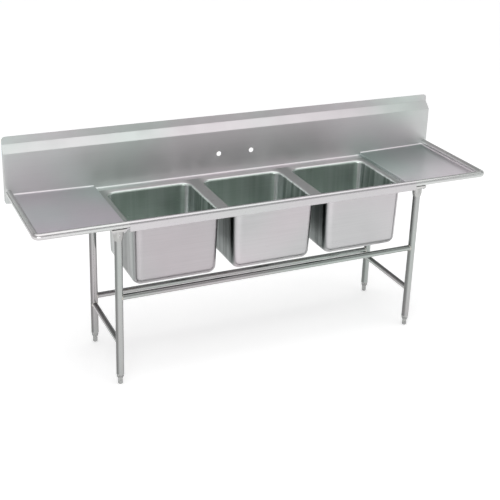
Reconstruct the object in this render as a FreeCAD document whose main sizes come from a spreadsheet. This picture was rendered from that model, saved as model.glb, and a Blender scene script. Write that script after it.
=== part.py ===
import FreeCAD, Part
import math
import os

import Sketcher
from FreeCAD import Rotation, Vector

# Three compartment scullery sink in stainless sheet and tube, in millimetres.
# The origin is on the floor under the middle of the sink. +X runs along the row of bowls, +Y goes back to
# the wall and +Z is up.

DIMENSIONS = [
    ("overall_length", 2641.6, "end to end, over the rolled rims"),
    ("overall_depth", 673.0, "front of the rolled rim to the wall"),
    ("sheet_thickness", 2.0, "14 gauge stainless sheet"),
    ("rim_crest", 940.0, "top of the rolled rim above the floor"),
    ("rim_roll_radius", 17.5, "outer radius of the rolled rim"),
    ("rim_lip_angle", 240.0, "turn of the roll, from its inner side round to its lip"),
    ("rim_corner_radius", 4.0, "inner radius of the rim's corner in plan"),
    ("rim_tab", 12.0, "flat of the centre rim that joins the bowls"),
    ("rim_cove", 6.0, "inner bend radius between the centre rim and its flat"),
    ("skirt_bottom", 887.0, "lower edge of the skirt in front of the bowls"),
    ("skirt_hem", 12.0, "lower edge of the skirt, turned back"),
    ("skirt_bend", 1.5, "inner bend radius of that hem"),
    ("deck_top", 888.0, "flat between and around the bowls"),
    ("bowl_pitch", 558.8, "bowl centre to bowl centre"),
    ("bowl_length", 508.0, "bowl opening along the row, flat to flat"),
    ("bowl_width", 495.3, "bowl opening front to back, flat to flat"),
    ("bowl_back", 222.3, "back edge of the bowl openings"),
    ("bowl_flange_back", 247.7, "back edge of the bowl flanges"),
    ("bowl_depth", 355.6, "14 inches from the deck to the bowl floor"),
    ("bowl_edge_radius", 14.0, "roll-over from the deck into the bowl"),
    ("bowl_draft", 1.5, "slope of the bowl walls, degrees"),
    ("bowl_corner_radius", 54.0, "upright corners of the bowl"),
    ("bowl_floor_radius", 44.0, "bend between the bowl walls and its floor"),
    ("drain_recess_radius", 60.0, "stamped recess round the drain hole"),
    ("drain_recess_depth", 5.0, "depth of that recess"),
    ("drain_hole_radius", 44.5, "3-1/2 inch drain opening"),
    ("splash_face", 293.4, "front of the splash"),
    ("splash_bottom", 862.0, "lower edge of the splash, behind the deck"),
    ("splash_crease", 1139.4, "where the splash turns back at 45 degrees"),
    ("splash_top", 1223.0, "top edge of the wall flange"),
    ("splash_bend", 3.0, "inner bend radius of the splash"),
    ("splash_corner", 22.0, "rounded top corners of the wall flange"),
    ("faucet_spacing", 203.2, "8 inch centres"),
    ("faucet_height", 1005.0, "faucet holes above the floor"),
    ("faucet_hole_radius", 14.3, "1-1/8 inch holes"),
    ("drainboard_start", 838.2, "inner end of the drainboards from the middle"),
    ("drainboard_step", 15.0, "step up from the deck to the drainboard"),
    ("drainboard_pitch", 8.0, "further rise to the outer end, for drainage"),
    ("drainboard_rim_drop", 41.0, "rim crest to the lower edge of the drainboard rims"),
    ("step_bend", 4.0, "bend radius at the drainboard step"),
    ("channel_bottom", 884.0, "under face of the leg channels"),
    ("channel_width", 76.0, "leg channel, over its webs"),
    ("channel_lip", 12.0, "turned-out lips of the leg channels"),
    ("channel_notch_start", -299.0, "where the webs step down, to pass under the rim"),
    ("channel_notch_height", 896.0, "top of the webs under the rim"),
    ("channel_back", 284.0, "back end of the leg channels"),
    ("stiffener_width", 60.0, "drainboard stiffener, over its webs"),
    ("stiffener_depth", 14.0, "drainboard stiffener"),
    ("stiffener_start", 940.0, "inner end of the stiffeners"),
    ("stiffener_length", 325.0, "stiffener along the drainboard"),
    ("leg_across", 884.2, "leg axis from the middle, along the row"),
    ("leg_front", -280.4, "front leg axis"),
    ("leg_rear", 191.8, "rear leg axis"),
    ("leg_radius", 20.64, "1-5/8 inch tube"),
    ("tube_wall", 1.5, "wall of the legs, rails and braces"),
    ("leg_bottom", 62.0, "lower end of the leg tubes"),
    ("leg_top", 874.0, "upper end of the leg tubes, in their sockets"),
    ("rail_radius", 15.875, "1-1/4 inch tube"),
    ("front_rail_height", 505.0, "axis of the front rail"),
    ("rear_rail_height", 287.0, "axis of the rear rail"),
    ("brace_height", 239.0, "axis of the side braces"),
    ("socket_plate", 64.0, "square plate on top of each leg socket"),
    ("socket_plate_thickness", 3.0, "plate of the leg socket"),
    ("socket_height", 52.0, "cup of the leg socket under its plate"),
    ("socket_top_radius", 27.0, "outside of the cup at the plate"),
    ("socket_straight", 30.0, "straight part of the cup, above its taper"),
    ("socket_bottom_radius", 22.6, "outside of the cup at its mouth"),
    ("socket_bore", 20.94, "bore of the leg socket"),
    ("socket_roof", 6.0, "solid top of the cup above the tube"),
    ("set_screw_radius", 4.0, "clamps the leg in its socket"),
    ("set_screw_height", 862.0, "axis of the set screws"),
    ("stud_offset", 25.5, "plate studs from the leg axis, both ways"),
    ("stud_radius", 3.0, "plate studs"),
    ("nut_flat_radius", 5.77, "corner radius of the stud nuts"),
    ("nut_height", 5.0, "stud nuts"),
    ("insert_bottom", 57.0, "under face of the leg insert"),
    ("insert_length", 30.0, "leg insert over all"),
    ("insert_bore", 8.05, "threaded bore of the insert"),
    ("foot_stem_radius", 8.0, "threaded stem of the foot"),
    ("foot_stem_top", 112.0, "top of the stem"),
    ("foot_tip_radius", 13.2, "bullet tip of the foot"),
    ("foot_tip_round", 5.0, "rounding of the tip's lower edge"),
    ("foot_tip_height", 23.0, "straight part of the tip"),
    ("foot_neck_radius", 11.8, "waist above the tip"),
    ("foot_neck_height", 27.0, "waist above the tip"),
    ("foot_top_radius", 19.0, "foot under its hexagon"),
    ("foot_body_top", 46.0, "top of the foot's taper"),
    ("foot_collar_radius", 17.0, "round collar above the hexagon"),
    ("foot_hex_radius", 19.6, "corner radius of the foot's hexagon"),
    ("foot_hex_height", 8.0, "hexagon of the foot"),
    ("flange_radius", 57.0, "drain flange"),
    ("flange_thickness", 2.5, "drain flange"),
    ("cup_outer_radius", 43.5, "outside of the drain cup"),
    ("cup_seat_radius", 41.0, "drain cup above the basket's ledge"),
    ("cup_inner_radius", 37.5, "drain cup below the ledge"),
    ("cup_ledge_drop", 10.5, "ledge below the top of the drain flange"),
    ("cup_depth", 42.5, "drain cup, from the top of its flange"),
    ("cup_wall", 2.5, "floor of the drain cup"),
    ("tail_radius", 19.05, "1-1/2 inch tailpiece"),
    ("tail_wall", 1.6, "wall of the tailpiece"),
    ("tail_length", 50.0, "tailpiece below the cup"),
    ("gasket_thickness", 3.0, "gasket under the bowl"),
    ("gasket_inner_radius", 44.0, "gasket"),
    ("gasket_outer_radius", 56.0, "gasket"),
    ("lock_nut_height", 10.0, "lock nut"),
    ("lock_nut_radius", 58.0, "corner radius of the eight sided lock nut"),
    ("lock_nut_bore", 43.6, "bore of the lock nut"),
    ("basket_rim_radius", 40.2, "rim of the crumb cup"),
    ("basket_radius", 36.5, "side of the crumb cup"),
    ("basket_depth", 26.0, "crumb cup below its rim"),
    ("basket_wall", 1.5, "sheet of the crumb cup"),
    ("basket_slot_width", 4.0, "slots in the side of the crumb cup"),
    ("basket_slot_height", 12.0, "slots in the side of the crumb cup"),
    ("basket_hole_radius", 2.4, "holes in the floor of the crumb cup"),
    ("basket_hole_circle", 25.0, "outer circle of floor holes"),
    ("basket_inner_circle", 15.5, "inner circle of floor holes"),
    ("knob_stem_radius", 4.0, "lifting knob of the crumb cup"),
    ("knob_radius", 8.5, "lifting knob"),
    ("knob_stem_height", 7.0, "lifting knob"),
    ("knob_height", 8.0, "lifting knob above its stem"),
]

SIDES = {"left": -1, "right": 1}
BOWLS = {"left": -1, "centre": 0, "right": 1}
LEGS = [(end, side) for end in ("front", "rear") for side in SIDES]
RIM_INNER = "(dims.overall_depth / 2 - 2 * dims.rim_roll_radius)"
HALF_LENGTH = "dims.overall_length / 2"
THICK = "dims.sheet_thickness"
ROLL_HEIGHT = "dims.rim_crest - dims.rim_roll_radius"
BOWL_MIDDLE = "dims.bowl_back - dims.bowl_width / 2"
BOARD_TOP = "dims.deck_top + dims.drainboard_step"
BOARD_END = f"({HALF_LENGTH} - 2 * dims.rim_roll_radius)"
BOARD_RISE = "dims.drainboard_pitch"
BOARD_RUN = f"({BOARD_END} - dims.drainboard_start)"
CHANNEL_FRONT = "(dims.leg_front - dims.socket_plate / 2)"
RECESS_FLOOR = "dims.deck_top - dims.bowl_depth - dims.drain_recess_depth"

doc = FreeCAD.newDocument("three_compartment_sink")
sheet = doc.addObject("Spreadsheet::Sheet", "dims")
for row, (alias, number, meaning) in enumerate(DIMENSIONS, start=1):
    sheet.set(f"A{row}", meaning)
    sheet.set(f"B{row}", str(number))
    sheet.setAlias(f"B{row}", alias)
doc.recompute()

nodes = []


# ---------------------------------------------------------------- helpers

def value(expression):
    """The number that an expression on the sheet gives."""
    return float(sheet.evalExpression(expression.replace("dims.", "")))


def keep(item, label):
    """Makes item a sub-part: its label names the node and the file."""
    item.Label = label
    nodes.append(item)
    return item


def place(item, across="0", back="0", up="0"):
    """Binds where item stands to the sheet."""
    item.setExpression("Placement.Base.x", across)
    item.setExpression("Placement.Base.y", back)
    item.setExpression("Placement.Base.z", up)
    return item


def new_body(label):
    return keep(doc.addObject("PartDesign::Body", label), label)


def new_sketch(body, name, role, offset="0"):
    """A sketch on one of the body's origin planes, moved along that plane's normal by offset."""
    plane = next(item for item in body.Origin.OriginFeatures if item.Role == role)
    sketch = body.newObject("Sketcher::SketchObject", f"{body.Name}_{name}")
    sketch.AttachmentSupport = [(plane, "")]
    sketch.MapMode = "FlatFace"
    sketch.setExpression("AttachmentOffset.Base.z", offset)
    return sketch


def constrain(sketch, expression, *definition):
    """Adds a dimension to the sketch and binds it to the sheet."""
    index = sketch.addConstraint(Sketcher.Constraint(*definition, value(expression)))
    sketch.setExpression(f"Constraints[{index}]", expression)


def pin_point(sketch, geometry, point, across, up):
    """Holds one point of the sketch at two bound distances from its origin."""
    constrain(sketch, across, "DistanceX", -1, 1, geometry, point)
    constrain(sketch, up, "DistanceY", -1, 1, geometry, point)


def add_outline(sketch, corners):
    """Closed straight-sided outline. Each corner is a pair of expressions, across and up the sketch."""
    points = [Vector(value(across), value(up), 0) for across, up in corners]
    following = points[1:] + points[:1]
    first = sketch.GeometryCount
    for start, end in zip(points, following):
        sketch.addGeometry(Part.LineSegment(start, end))
    for index, (across, up) in enumerate(corners):
        line = first + index
        before = first + (index - 1) % len(corners)
        sketch.addConstraint(Sketcher.Constraint("Coincident", before, 2, line, 1))
        pin_point(sketch, line, 1, across, up)


def add_circle(sketch, radius, across="0", up="0"):
    centre = Vector(value(across), value(up), 0)
    index = sketch.addGeometry(Part.Circle(centre, Vector(0, 0, 1), value(radius)))
    constrain(sketch, radius, "Radius", index)
    pin_point(sketch, index, 3, across, up)


def add_rectangle(sketch, half_across, half_up, across="0", up="0"):
    add_outline(sketch, [
        (f"{across} - ({half_across})", f"{up} - ({half_up})"),
        (f"{across} + ({half_across})", f"{up} - ({half_up})"),
        (f"{across} + ({half_across})", f"{up} + ({half_up})"),
        (f"{across} - ({half_across})", f"{up} + ({half_up})"),
    ])


def add_rounded_rectangle(sketch, half_across, half_up, radius):
    """Rectangle with round corners about the sketch's origin."""
    arcs = []
    for across, up, start in ((1, 1, 0), (-1, 1, 90), (-1, -1, 180), (1, -1, 270)):
        where = (f"{across} * ({half_across} - {radius})", f"{up} * ({half_up} - {radius})")
        circle = Part.Circle(Vector(value(where[0]), value(where[1]), 0), Vector(0, 0, 1), value(radius))
        arc = sketch.addGeometry(Part.ArcOfCircle(circle, math.radians(start), math.radians(start + 90)))
        first, last = ("Horizontal", "Vertical") if start % 180 == 0 else ("Vertical", "Horizontal")
        constrain(sketch, radius, "Radius", arc)
        pin_point(sketch, arc, 3, *where)
        sketch.addConstraint(Sketcher.Constraint(first, arc, 3, arc, 1))
        sketch.addConstraint(Sketcher.Constraint(last, arc, 3, arc, 2))
        arcs.append(arc)
    for arc, following in zip(arcs, arcs[1:] + arcs[:1]):
        ends = (sketch.Geometry[arc].EndPoint, sketch.Geometry[following].StartPoint)
        line = sketch.addGeometry(Part.LineSegment(*ends))
        sketch.addConstraint(Sketcher.Constraint("Coincident", arc, 2, line, 1))
        sketch.addConstraint(Sketcher.Constraint("Coincident", line, 2, following, 1))


def add_polygon(sketch, sides, corner_radius):
    """Regular polygon about the sketch's origin."""
    turns = [360 * index / sides for index in range(sides)]
    add_outline(sketch, [(f"{corner_radius} * cos({turn} deg)", f"{corner_radius} * sin({turn} deg)")
                         for turn in turns])


def pad(body, sketch, length, both_ways=False, down=False, taper=None):
    feature = body.newObject("PartDesign::Pad", f"{sketch.Name}_pad")
    feature.Profile = sketch
    feature.setExpression("Length", length)
    feature.Midplane = both_ways
    feature.Reversed = down
    if taper:
        feature.setExpression("TaperAngle", taper)
    return feature


def cut(body, sketch, length=None, both_ways=False, taper=None, reverse=False):
    """Pockets the sketch, by a length or through everything, and checks that it removed something."""
    doc.recompute()
    before = body.Shape.Volume
    feature = body.newObject("PartDesign::Pocket", f"{sketch.Name}_cut")
    feature.Profile = sketch
    feature.Midplane = both_ways
    feature.Reversed = reverse
    if length:
        feature.setExpression("Length", length)
    else:
        feature.Type = "ThroughAll"
    if taper:
        feature.setExpression("TaperAngle", taper)
    doc.recompute()
    if body.Shape.Volume > before - 0.1:
        raise RuntimeError(f"{feature.Name} cut nothing from {body.Label}")
    return feature


def revolve(body, sketch):
    """Turns the sketch about its own upright axis."""
    feature = body.newObject("PartDesign::Revolution", f"{sketch.Name}_turn")
    feature.Profile = sketch
    feature.ReferenceAxis = (sketch, ["V_Axis"])
    feature.Angle = 360
    return feature


def pattern(body, feature, count):
    """Repeats a cut round the body's upright axis."""
    axis = next(item for item in body.Origin.OriginFeatures if item.Role == "Z_Axis")
    copies = body.newObject("PartDesign::PolarPattern", f"{feature.Name}_ring")
    copies.Originals = [feature]
    copies.Axis = (axis, [""])
    copies.Angle = 360
    copies.Occurrences = count
    body.Tip = copies
    doc.recompute()
    return copies


def fillet(body, name, radius, wanted):
    """Rounds the edges of the body that the test wanted picks."""
    doc.recompute()
    base = body.Tip
    edges = [f"Edge{index}" for index, edge in enumerate(base.Shape.Edges, start=1) if wanted(edge)]
    if not edges:
        raise RuntimeError(f"no edge of {body.Label} for {name}")
    feature = body.newObject("PartDesign::Fillet", f"{body.Name}_{name}")
    feature.Base = (base, edges)
    feature.setExpression("Radius", radius)
    doc.recompute()
    return feature


def spans(edge, axis):
    """How far an edge runs along one axis."""
    box = edge.BoundBox
    return {"x": box.XLength, "y": box.YLength, "z": box.ZLength}[axis]


def near(one, other, tolerance=0.05):
    return abs(one - other) < tolerance


def at_height(edge, height):
    box = edge.BoundBox
    return near(box.ZMin, height) and near(box.ZMax, height)


def tube(body, radius, length, role="XY_Plane", start="0"):
    """Round tube whose wall is the sheet's tube wall."""
    sketch = new_sketch(body, "ring", role, start)
    add_circle(sketch, radius)
    add_circle(sketch, f"{radius} - dims.tube_wall")
    return pad(body, sketch, length, both_ways=(role != "XY_Plane"))


# ---------------------------------------------------------------- rolled rims

def add_chain(sketch, start, end, corners):
    """Straight lines from start to end by way of the corners, which are pairs of expressions."""
    points = [start, *(Vector(value(across), value(up), 0) for across, up in corners), end]
    lines = [sketch.addGeometry(Part.LineSegment(*ends)) for ends in zip(points, points[1:])]
    for before, after, (across, up) in zip(lines, lines[1:], corners):
        sketch.addConstraint(Sketcher.Constraint("Coincident", before, 2, after, 1))
        pin_point(sketch, before, 2, across, up)
    return lines


def add_rim_section(sketch, foot, skirt=()):
    """Section of the rolled rim, across to the front and up: an upstand, then a roll forward.

    foot runs from the lower end of the upstand's inner side to that of its outer side. Without a skirt,
    the roll turns under to its lip. With one, it goes straight down at the front, and skirt runs from the
    lower end of its outer side to that of its inner side.
    """
    centre_across = f"-{RIM_INNER} - dims.rim_roll_radius"
    radii = ["dims.rim_roll_radius", f"dims.rim_roll_radius - {THICK}"]
    centre = Vector(value(centre_across), value(ROLL_HEIGHT), 0)
    turn = math.pi if skirt else math.radians(value("dims.rim_lip_angle"))
    arcs = []
    for radius in radii:
        circle = Part.Circle(centre, Vector(0, 0, 1), value(radius))
        arcs.append(sketch.addGeometry(Part.ArcOfCircle(circle, 0, turn)))
    outer, inner = arcs
    starts = [centre + Vector(value(radius), 0, 0) for radius in radii]
    ends = [centre + Vector(math.cos(turn), math.sin(turn), 0) * value(radius) for radius in radii]
    upstand = add_chain(sketch, *starts, foot)
    lip = add_chain(sketch, *ends, skirt)

    pin_point(sketch, outer, 3, centre_across, ROLL_HEIGHT)
    sketch.addConstraint(Sketcher.Constraint("Coincident", outer, 3, inner, 3))
    for arc, radius in zip(arcs, radii):
        constrain(sketch, radius, "Radius", arc)
        sketch.addConstraint(Sketcher.Constraint("Horizontal", arc, 3, arc, 1))
    sketch.addConstraint(Sketcher.Constraint("Coincident", upstand[0], 1, outer, 1))
    sketch.addConstraint(Sketcher.Constraint("Coincident", upstand[-1], 2, inner, 1))
    sketch.addConstraint(Sketcher.Constraint("Coincident", lip[0], 1, outer, 2))
    sketch.addConstraint(Sketcher.Constraint("Coincident", lip[-1], 2, inner, 2))
    if skirt:
        for arc in arcs:
            sketch.addConstraint(Sketcher.Constraint("Horizontal", arc, 3, arc, 2))
    else:
        sketch.addConstraint(Sketcher.Constraint("PointOnObject", outer, 3, lip[0]))
        angle = sketch.addConstraint(Sketcher.Constraint("Angle", lip[0], turn - math.pi))
        sketch.setExpression(f"Constraints[{angle}]", "(dims.rim_lip_angle - 180) * 1 deg")


def make_centre_rim():
    """Front rim along the bowls.

    Its upstand bends back into a flat that meets the bowl flanges. Its front goes down into a hemmed skirt.
    """
    body = new_body("rim_centre")
    sketch = new_sketch(body, "section", "YZ_Plane")
    front_face = "-dims.overall_depth / 2"
    hem_edge = f"{front_face} + dims.skirt_hem"
    foot = [
        (f"-{RIM_INNER}", "dims.deck_top"),
        (f"-{RIM_INNER} + dims.rim_tab", "dims.deck_top"),
        (f"-{RIM_INNER} + dims.rim_tab", f"dims.deck_top - {THICK}"),
        (f"-{RIM_INNER} - {THICK}", f"dims.deck_top - {THICK}"),
    ]
    skirt = [
        (front_face, "dims.skirt_bottom"),
        (hem_edge, "dims.skirt_bottom"),
        (hem_edge, f"dims.skirt_bottom + {THICK}"),
        (f"{front_face} + {THICK}", f"dims.skirt_bottom + {THICK}"),
    ]
    add_rim_section(sketch, foot, skirt)
    pad(body, sketch, "2 * dims.drainboard_start", both_ways=True)

    def fold_at(across, height):
        where = (value(across), value(height))
        return lambda edge: (near(edge.CenterOfMass.y, where[0]) and at_height(edge, where[1])
                             and spans(edge, "x") > 100)

    fillet(body, "cove", "dims.rim_cove", fold_at(*foot[0]))
    fillet(body, "bend", f"dims.rim_cove + {THICK}", fold_at(*foot[-1]))
    fillet(body, "hem_inside", "dims.skirt_bend", fold_at(*skirt[-1]))
    fillet(body, "hem_outside", f"dims.skirt_bend + {THICK}", fold_at(*skirt[0]))


def make_side_rim(side):
    """Rim of one drainboard: along its front, round the corner and back to the splash, in one sweep."""
    sign = SIDES[side]
    body = new_body(f"rim_{side}")
    section = new_sketch(body, "section", "YZ_Plane", f"{sign} * dims.drainboard_start")
    lower_edge = "dims.rim_crest - dims.drainboard_rim_drop"
    add_rim_section(section, [
        (f"-{RIM_INNER}", lower_edge),
        (f"-{RIM_INNER} - {THICK}", lower_edge),
    ])
    path = new_sketch(body, "path", "XY_Plane")
    end_across = f"{sign} * {BOARD_END}"
    turn_across = f"{sign} * ({BOARD_END} - dims.rim_corner_radius)"
    turn_back = f"-{RIM_INNER} + dims.rim_corner_radius"
    corner = Vector(value(turn_across), value(turn_back), 0)
    circle = Part.Circle(corner, Vector(0, 0, 1), value("dims.rim_corner_radius"))
    start_turn, end_turn = (-math.pi / 2, 0) if sign > 0 else (math.pi, 1.5 * math.pi)
    front = path.addGeometry(Part.LineSegment(
        Vector(sign * value("dims.drainboard_start"), -value(RIM_INNER), 0),
        Vector(corner.x, -value(RIM_INNER), 0)))
    arc = path.addGeometry(Part.ArcOfCircle(circle, start_turn, end_turn))
    flank = path.addGeometry(Part.LineSegment(
        Vector(value(end_across), corner.y, 0),
        Vector(value(end_across), value("dims.splash_face"), 0)))
    arc_front, arc_flank = (1, 2) if sign > 0 else (2, 1)
    path.addConstraint(Sketcher.Constraint("Coincident", front, 2, arc, arc_front))
    path.addConstraint(Sketcher.Constraint("Coincident", arc, arc_flank, flank, 1))
    path.addConstraint(Sketcher.Constraint("Vertical", arc, 3, arc, arc_front))
    path.addConstraint(Sketcher.Constraint("Horizontal", arc, 3, arc, arc_flank))
    pin_point(path, front, 1, f"{sign} * dims.drainboard_start", f"-{RIM_INNER}")
    pin_point(path, arc, 3, turn_across, turn_back)
    constrain(path, "dims.rim_corner_radius", "Radius", arc)
    pin_point(path, flank, 2, end_across, "dims.splash_face")
    doc.recompute()
    sweep = body.newObject("PartDesign::AdditivePipe", f"{body.Name}_sweep")
    sweep.Profile = section
    sweep.Spine = (path, ["Edge1", "Edge2", "Edge3"])
    doc.recompute()


# ---------------------------------------------------------------- splash

def make_splash():
    """Folded splash: a face, a 45 degree bevel back to the wall and a flange up the wall."""
    body = new_body("backsplash")
    sketch = new_sketch(body, "section", "YZ_Plane")
    wall = "dims.overall_depth / 2"
    bevel_end = f"dims.splash_crease + ({wall} - {THICK} - dims.splash_face)"
    bend_drop = f"{THICK} * tan(22.5 deg)"
    add_outline(sketch, [
        ("dims.splash_face", "dims.splash_bottom"),
        ("dims.splash_face", "dims.splash_crease"),
        (f"{wall} - {THICK}", bevel_end),
        (f"{wall} - {THICK}", "dims.splash_top"),
        (wall, "dims.splash_top"),
        (wall, f"{bevel_end} - {bend_drop}"),
        (f"dims.splash_face + {THICK}", f"dims.splash_crease - {bend_drop}"),
        (f"dims.splash_face + {THICK}", "dims.splash_bottom"),
    ])
    pad(body, sketch, "dims.overall_length", both_ways=True)

    def fold_at(*places):
        where = [(value(back), value(up)) for back, up in places]
        return lambda edge: (spans(edge, "x") > 100
                             and any(near(edge.CenterOfMass.y, back) and near(edge.CenterOfMass.z, up)
                                     for back, up in where))

    fillet(body, "outer_bends", f"dims.splash_bend + {THICK}", fold_at(
        ("dims.splash_face", "dims.splash_crease"),
        (wall, f"{bevel_end} - {bend_drop}")))
    fillet(body, "inner_bends", "dims.splash_bend", fold_at(
        (f"dims.splash_face + {THICK}", f"dims.splash_crease - {bend_drop}"),
        (f"{wall} - {THICK}", bevel_end)))
    top = value("dims.splash_top")

    def top_corner(edge):
        return (near(edge.CenterOfMass.z, top) and near(abs(edge.CenterOfMass.x), value(HALF_LENGTH))
                and spans(edge, "y") > 1)

    fillet(body, "corners", "dims.splash_corner", top_corner)
    holes = new_sketch(body, "faucet_holes", "XZ_Plane")
    for sign in SIDES.values():
        across = f"{sign} * dims.faucet_spacing / 2"
        add_circle(holes, "dims.faucet_hole_radius", across, "dims.faucet_height")
    cut(body, holes, both_ways=True)


def make_end_cap(side):
    """Plate that closes one end of the splash, inside its fold."""
    sign = SIDES[side]
    body = new_body(f"splash_end_cap_{side}")
    sketch = new_sketch(body, "outline", "YZ_Plane", f"{sign} * ({HALF_LENGTH} - {THICK} / 2)")
    wall = "dims.overall_depth / 2"
    bend_drop = f"{THICK} * tan(22.5 deg)"
    bevel_end = f"dims.splash_crease + ({wall} - {THICK} - dims.splash_face)"
    add_outline(sketch, [
        (f"dims.splash_face + {THICK}", "dims.splash_bottom"),
        (f"dims.splash_face + {THICK}", f"dims.splash_crease - {bend_drop}"),
        (wall, f"{bevel_end} - {bend_drop}"),
        (wall, "dims.splash_bottom"),
    ])
    pad(body, sketch, THICK, both_ways=True)
    crease = value(f"dims.splash_crease - {bend_drop}")
    fillet(body, "bend", "dims.splash_bend", lambda edge: at_height(edge, crease))


# ---------------------------------------------------------------- deck, bowls and drainboards

def make_back_strip():
    """Flat between the bowl flanges and the splash."""
    body = new_body("back_strip")
    sketch = new_sketch(body, "outline", "XY_Plane", f"dims.deck_top - {THICK}")
    middle = "(dims.splash_face + dims.bowl_flange_back) / 2"
    half = "(dims.splash_face - dims.bowl_flange_back) / 2"
    add_rectangle(sketch, "dims.drainboard_start", half, up=middle)
    pad(body, sketch, THICK)


def add_drawn_form(body, half_length, half_width, depth, outset):
    """Solid with the drafted walls and round floor bend of a drawn bowl, down from its own zero."""
    sketch = new_sketch(body, "form", "XY_Plane")
    add_rounded_rectangle(sketch, half_length, half_width, f"(dims.bowl_corner_radius + {outset})")
    pad(body, sketch, depth, down=True, taper="-dims.bowl_draft")
    floor = -value(depth)
    fillet(body, "floor_bend", f"dims.bowl_floor_radius + {outset}", lambda edge: at_height(edge, floor))


def make_bowl(name):
    """Drawn bowl with its own flange, rolled over at the top, and a stamped recess for the drain.

    Its own zero is the middle of the opening, at deck level.
    """
    body = new_body(f"bowl_{name}")
    half_length = "(dims.bowl_length / 2 - dims.bowl_edge_radius)"
    half_width = "(dims.bowl_width / 2 - dims.bowl_edge_radius)"
    thick = value(THICK)
    limit = value(half_length) + 8 * thick

    def is_inside(edge):
        return max(abs(edge.BoundBox.XMin), abs(edge.BoundBox.XMax)) < limit

    add_drawn_form(body, f"({half_length} + {THICK})", f"({half_width} + {THICK})",
                   f"dims.bowl_depth + {THICK}", THICK)

    flange = new_sketch(body, "flange", "XY_Plane")
    front = f"-({RIM_INNER} - dims.rim_tab) - ({BOWL_MIDDLE})"
    back = f"dims.bowl_flange_back - ({BOWL_MIDDLE})"
    half_pitch = "dims.bowl_pitch / 2"
    add_outline(flange, [
        (f"-{half_pitch}", front),
        (half_pitch, front),
        (half_pitch, back),
        (f"-{half_pitch}", back),
    ])
    pad(body, flange, THICK, down=True)
    fillet(body, "outer_roll", f"dims.bowl_edge_radius - {THICK}",
           lambda edge: at_height(edge, -thick) and is_inside(edge))

    cavity = doc.addObject("PartDesign::Body", f"{body.Name}_cavity")
    add_drawn_form(cavity, half_length, half_width, "dims.bowl_depth", "0")
    doc.recompute()
    hollow = body.newObject("PartDesign::Boolean", f"{body.Name}_hollow")
    hollow.setObjects([cavity])
    hollow.Type = "Cut"
    fillet(body, "inner_roll", "dims.bowl_edge_radius", lambda edge: at_height(edge, 0) and is_inside(edge))

    boss = new_sketch(body, "recess_boss", "XY_Plane", "-dims.bowl_depth")
    add_circle(boss, f"dims.drain_recess_radius + {THICK}")
    pad(body, boss, f"dims.drain_recess_depth + {THICK}", down=True)
    recess = new_sketch(body, "recess", "XY_Plane", "-dims.bowl_depth")
    add_circle(recess, "dims.drain_recess_radius")
    cut(body, recess, "dims.drain_recess_depth")
    hole = new_sketch(body, "drain_hole", "XY_Plane", "-dims.bowl_depth")
    add_circle(hole, "dims.drain_hole_radius")
    cut(body, hole)
    place(body, f"{BOWLS[name]} * dims.bowl_pitch", BOWL_MIDDLE, "dims.deck_top")


def board_underside(across):
    """Height of the drainboard's underside at a distance from the middle."""
    run = f"(({across}) - dims.drainboard_start) / {BOARD_RUN}"
    return f"{BOARD_TOP} - {THICK} + {BOARD_RISE} * {run}"


def make_drainboard(side):
    """Drainboard sheet: a riser at the end of the bowls and a surface pitched down to them."""
    sign = SIDES[side]
    body = new_body(f"drainboard_{side}")
    middle = f"({RIM_INNER} - dims.splash_face) / 2"
    sketch = new_sketch(body, "section", "XZ_Plane", middle)
    riser = "dims.drainboard_start"
    riser_back = f"{riser} + {THICK}"
    add_outline(sketch, [
        (f"{sign} * {riser}", f"dims.deck_top - {THICK}"),
        (f"{sign} * {riser}", BOARD_TOP),
        (f"{sign} * {BOARD_END}", f"{BOARD_TOP} + {BOARD_RISE}"),
        (f"{sign} * {BOARD_END}", board_underside(BOARD_END)),
        (f"{sign} * ({riser_back})", board_underside(riser_back)),
        (f"{sign} * ({riser_back})", f"dims.deck_top - {THICK}"),
    ])
    pad(body, sketch, f"{RIM_INNER} + dims.splash_face", both_ways=True)

    def bend_at(across, height):
        where = (value(across), value(height))
        return lambda edge: (near(abs(edge.CenterOfMass.x), where[0]) and at_height(edge, where[1])
                             and spans(edge, "y") > 100)

    fillet(body, "nose", "dims.step_bend", bend_at(riser, BOARD_TOP))
    fillet(body, "nose_inside", f"dims.step_bend - {THICK}", bend_at(riser_back, board_underside(riser_back)))
    end = value(BOARD_END)
    front = -value(RIM_INNER)
    half_thick = value(THICK) / 2

    def front_corner(edge):
        return (near(abs(edge.CenterOfMass.x), end) and near(edge.CenterOfMass.y, front)
                and spans(edge, "z") > half_thick)

    fillet(body, "corner", "dims.rim_corner_radius", front_corner)


# ---------------------------------------------------------------- under-structure

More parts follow.
